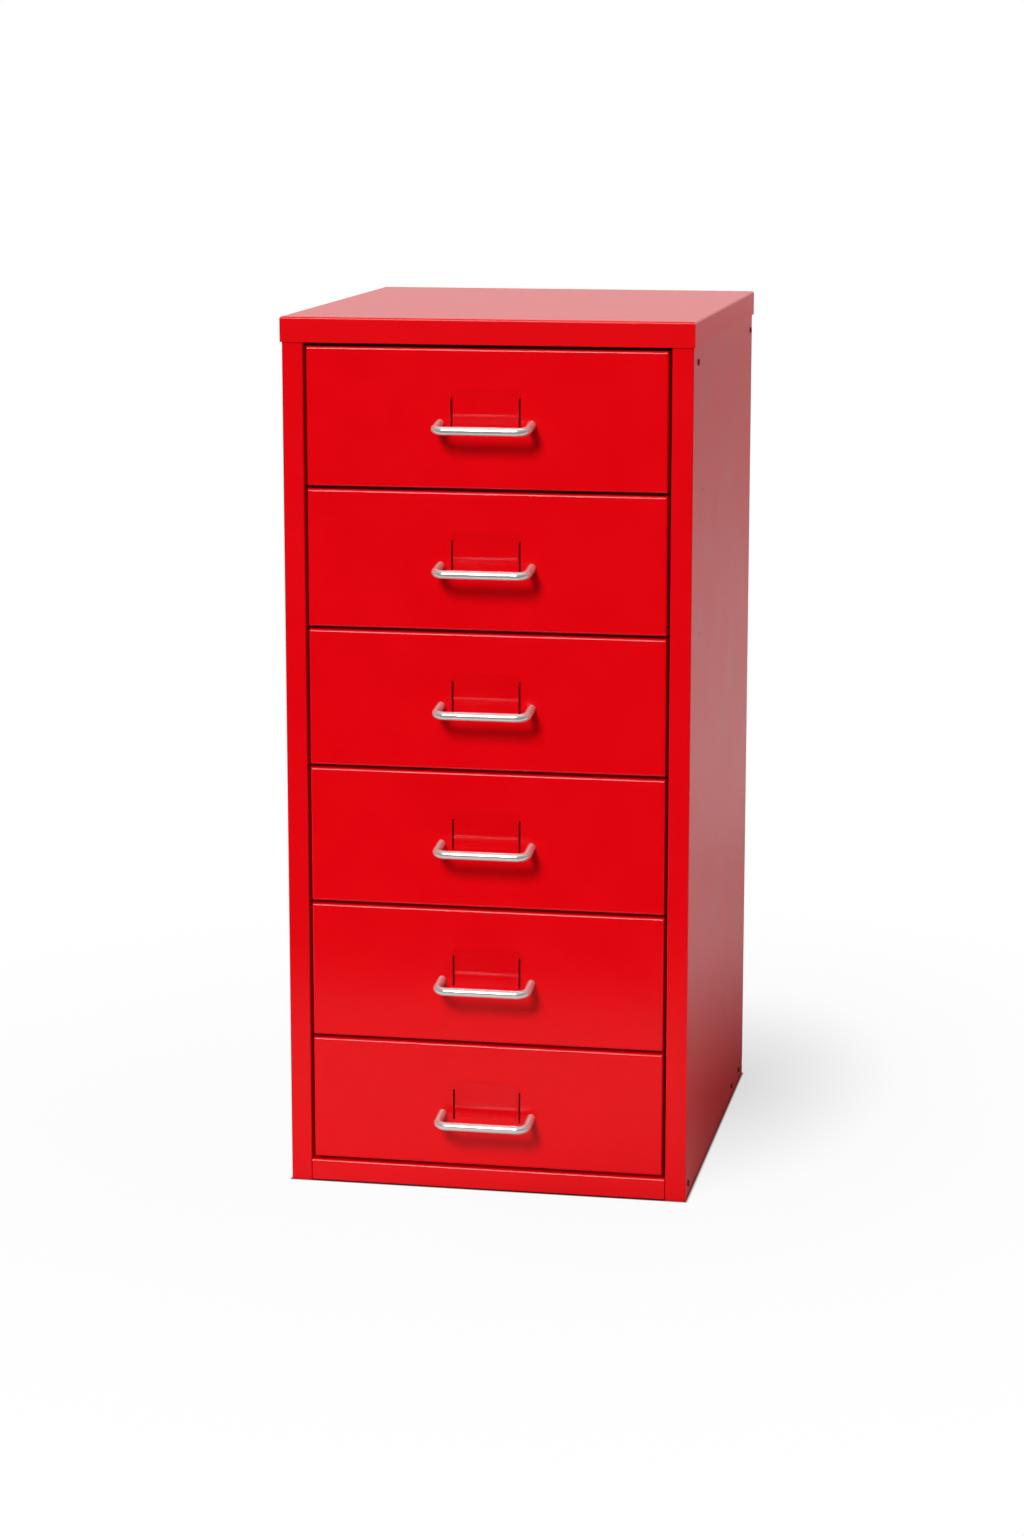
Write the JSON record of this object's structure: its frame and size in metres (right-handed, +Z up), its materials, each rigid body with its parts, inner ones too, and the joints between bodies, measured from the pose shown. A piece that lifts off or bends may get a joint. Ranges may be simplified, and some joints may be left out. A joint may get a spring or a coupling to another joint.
{
  "type": "small metal drawer cabinet",
  "caption": "Small free-standing cabinet of red powder-coated sheet steel, with inset sliding drawers, wire pulls and clear label holders.",
  "frame": {"origin": "on the floor, under the middle of the whole object's box, wire pulls included", "axes": "+Z up; -Y out of the drawer fronts; +X to the right as seen from the front"},
  "size_m": [0.28, 0.3428, 0.601],
  "materials": {
    "red_coat_case": "satin red powder coat",
    "red_coat_fronts": "satin red powder coat",
    "red_coat_trays": "satin red powder coat",
    "runner_steel": "satin red powder coat, rubbed where the rims slide",
    "pull_wire": "satin nickel-plated wire",
    "clear_plastic": "clear moulded plastic",
    "zinc_screws": "bright zinc",
    "dark_screws": "dark oxide"
  },
  "bodies": {
    "cabinet": {"side_panel_left": "red_coat_case", "side_panel_right": "red_coat_case", "top_cover": "red_coat_case", "base_pan": "red_coat_case", "header_rail": "red_coat_case", "back_panel": "red_coat_case", "side_screws_left": "dark_screws", "side_screws_right": "dark_screws", "back_screws": "dark_screws", "runner_left_1": "runner_steel", "runner_right_1": "runner_steel", "runner_left_2": "runner_steel", "runner_right_2": "runner_steel", "runner_left_3": "runner_steel", "runner_right_3": "runner_steel", "runner_left_4": "runner_steel", "runner_right_4": "runner_steel", "runner_left_5": "runner_steel", "runner_right_5": "runner_steel", "runner_left_6": "runner_steel", "runner_right_6": "runner_steel"},
    "drawer_1": {"drawer_front_1": "red_coat_fronts", "drawer_tray_1": "red_coat_trays", "drawer_pull_1": "pull_wire", "label_holder_1": "clear_plastic", "pull_screws_1": "zinc_screws"},
    "drawer_2": {"drawer_front_2": "red_coat_fronts", "drawer_tray_2": "red_coat_trays", "drawer_pull_2": "pull_wire", "label_holder_2": "clear_plastic", "pull_screws_2": "zinc_screws"},
    "drawer_3": {"drawer_front_3": "red_coat_fronts", "drawer_tray_3": "red_coat_trays", "drawer_pull_3": "pull_wire", "label_holder_3": "clear_plastic", "pull_screws_3": "zinc_screws"},
    "drawer_4": {"drawer_front_4": "red_coat_fronts", "drawer_tray_4": "red_coat_trays", "drawer_pull_4": "pull_wire", "label_holder_4": "clear_plastic", "pull_screws_4": "zinc_screws"},
    "drawer_5": {"drawer_front_5": "red_coat_fronts", "drawer_tray_5": "red_coat_trays", "drawer_pull_5": "pull_wire", "label_holder_5": "clear_plastic", "pull_screws_5": "zinc_screws"},
    "drawer_6": {"drawer_front_6": "red_coat_fronts", "drawer_tray_6": "red_coat_trays", "drawer_pull_6": "pull_wire", "label_holder_6": "clear_plastic", "pull_screws_6": "zinc_screws"}
  },
  "joints": [
    {"name": "drawer_slide_1", "type": "slide", "parent": "cabinet", "child": "drawer_1", "axis": [0, -1, 0], "range_m": [0, 0.24]},
    {"name": "drawer_slide_2", "type": "slide", "parent": "cabinet", "child": "drawer_2", "axis": [0, -1, 0], "range_m": [0, 0.24]},
    {"name": "drawer_slide_3", "type": "slide", "parent": "cabinet", "child": "drawer_3", "axis": [0, -1, 0], "range_m": [0, 0.24]},
    {"name": "drawer_slide_4", "type": "slide", "parent": "cabinet", "child": "drawer_4", "axis": [0, -1, 0], "range_m": [0, 0.24]},
    {"name": "drawer_slide_5", "type": "slide", "parent": "cabinet", "child": "drawer_5", "axis": [0, -1, 0], "range_m": [0, 0.24]},
    {"name": "drawer_slide_6", "type": "slide", "parent": "cabinet", "child": "drawer_6", "axis": [0, -1, 0], "range_m": [0, 0.24]}
  ]
}
